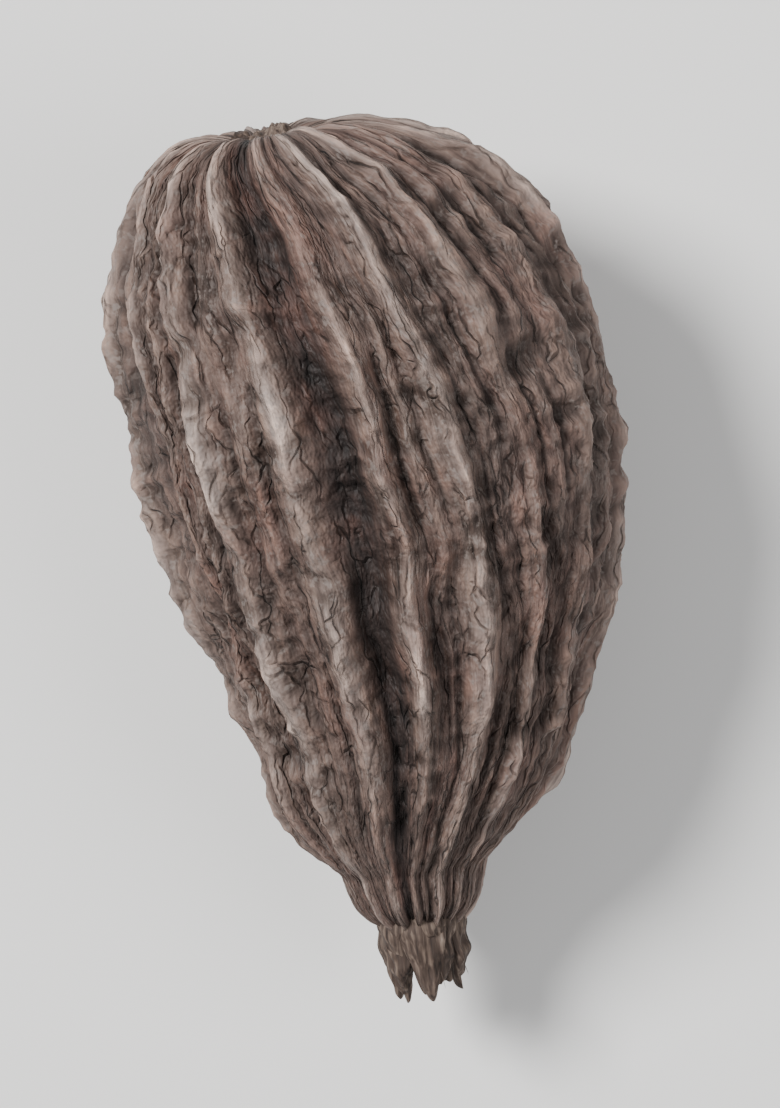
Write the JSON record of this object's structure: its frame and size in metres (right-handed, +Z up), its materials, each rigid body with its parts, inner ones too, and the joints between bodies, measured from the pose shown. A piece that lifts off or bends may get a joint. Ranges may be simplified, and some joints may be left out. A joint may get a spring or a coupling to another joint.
{
  "type": "black cardamom pod",
  "caption": "Dried black cardamom pod: an egg-shaped, ribbed and wrinkled brown husk with a stub of stalk at its broad end and a short beak with withered calyx at its narrow end",
  "frame": {"origin": "In the plane the pod rests on, under the middle of its bounding box", "axes": "+Y runs from the beak and calyx at the narrow end to the stalk stub at the broad end, +Z is up as the pod lies, and +X is to its right seen from above with the stalk end away from the viewer"},
  "size_m": [0.0178, 0.0316, 0.0151],
  "materials": {
    "husk": "dry, dusty and matt, dark greyish brown with paler rib crests"
  },
  "bodies": {
    "root": {"pod": "husk"}
  },
  "joints": []
}
